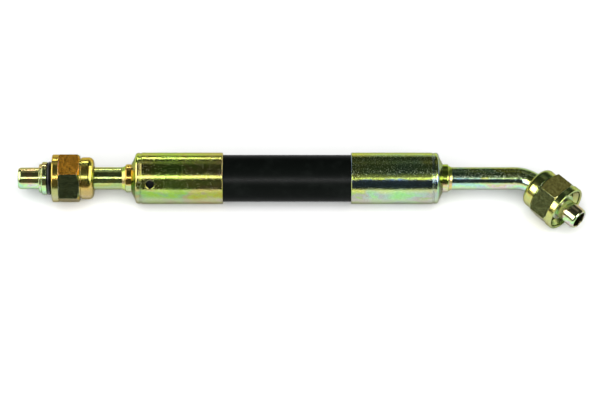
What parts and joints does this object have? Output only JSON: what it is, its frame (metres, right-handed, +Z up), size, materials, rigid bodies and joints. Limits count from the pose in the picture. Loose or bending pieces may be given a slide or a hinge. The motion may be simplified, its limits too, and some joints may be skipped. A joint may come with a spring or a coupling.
{
  "type": "hydraulic hose assembly",
  "caption": "Short rubber hose between a straight and an angled steel tube end, each with a crimp shell, a swivel hex nut and an O-ring pilot.",
  "frame": {"origin": "on the tube axis, at the front face of the straight end's pilot collar", "axes": "+X along the hose from the straight end to the elbow end, +Z up, the elbow turns towards -Y"},
  "size_m": [0.2413, 0.0354, 0.022],
  "materials": {
    "pilot_a": "yellow zinc chromate over turned steel, glossy, with drifting green, gold and rose tints",
    "pilot_b": "yellow zinc chromate over turned steel, glossy, with drifting green, gold and rose tints",
    "nut_a": "amber yellow zinc chromate over milled steel",
    "nut_b": "olive yellow zinc chromate over milled steel",
    "tube": "yellow zinc chromate over turned steel, glossy, with drifting green, gold and rose tints",
    "stem": "yellow zinc chromate over turned steel, glossy, with drifting green, gold and rose tints",
    "shell_a": "yellow zinc chromate over turned steel, glossy, with drifting green, gold and rose tints",
    "shell_b": "yellow zinc chromate over turned steel, glossy, with drifting green, gold and rose tints",
    "braze": "smooth braze fillet",
    "o_ring": "satin black rubber",
    "hose_tube": "smooth black rubber",
    "hose_barrier": "translucent white film",
    "hose_backing": "dull grey-black rubber",
    "hose_braid": "braided polyester yarn",
    "hose_cover": "matte black rubber with fine cloth marks"
  },
  "bodies": {
    "end_a": {"pilot_a": "pilot_a", "pilot_braze_a": "braze", "o_ring_a": "o_ring", "tube_a": "tube", "stem_braze_a": "braze", "stem_a": "stem", "shell_a": "shell_a", "hose_tube": "hose_tube", "hose_barrier": "hose_barrier", "hose_backing": "hose_backing", "hose_braid": "hose_braid", "hose_cover": "hose_cover"},
    "nut_a": {"nut_a": "nut_a"},
    "end_b": {"pilot_b": "pilot_b", "pilot_braze_b": "braze", "o_ring_b": "o_ring", "tube_b": "tube", "stem_braze_b": "braze", "stem_b": "stem", "shell_b": "shell_b"},
    "nut_b": {"nut_b": "nut_b"}
  },
  "joints": [
    {"name": "hose_flex", "type": "hinge", "parent": "end_a", "child": "end_b", "pos_m": [0.1057, 0, 0], "axis": [0, 0, 1], "range_deg": [-30, 30], "stiffness_Nm_per_rad": 1.9, "deforming": ["hose_tube", "hose_barrier", "hose_backing", "hose_braid", "hose_cover"]},
    {"name": "nut_a_spin", "type": "hinge", "parent": "end_a", "child": "nut_a", "pos_m": [0.0145, 0, 0], "axis": [1, 0, 0], "continuous": true},
    {"name": "nut_b_spin", "type": "hinge", "parent": "end_b", "child": "nut_b", "pos_m": [0.2231, -0.01519, -0.00069], "axis": [0.7071, -0.7064, -0.0321], "continuous": true}
  ]
}
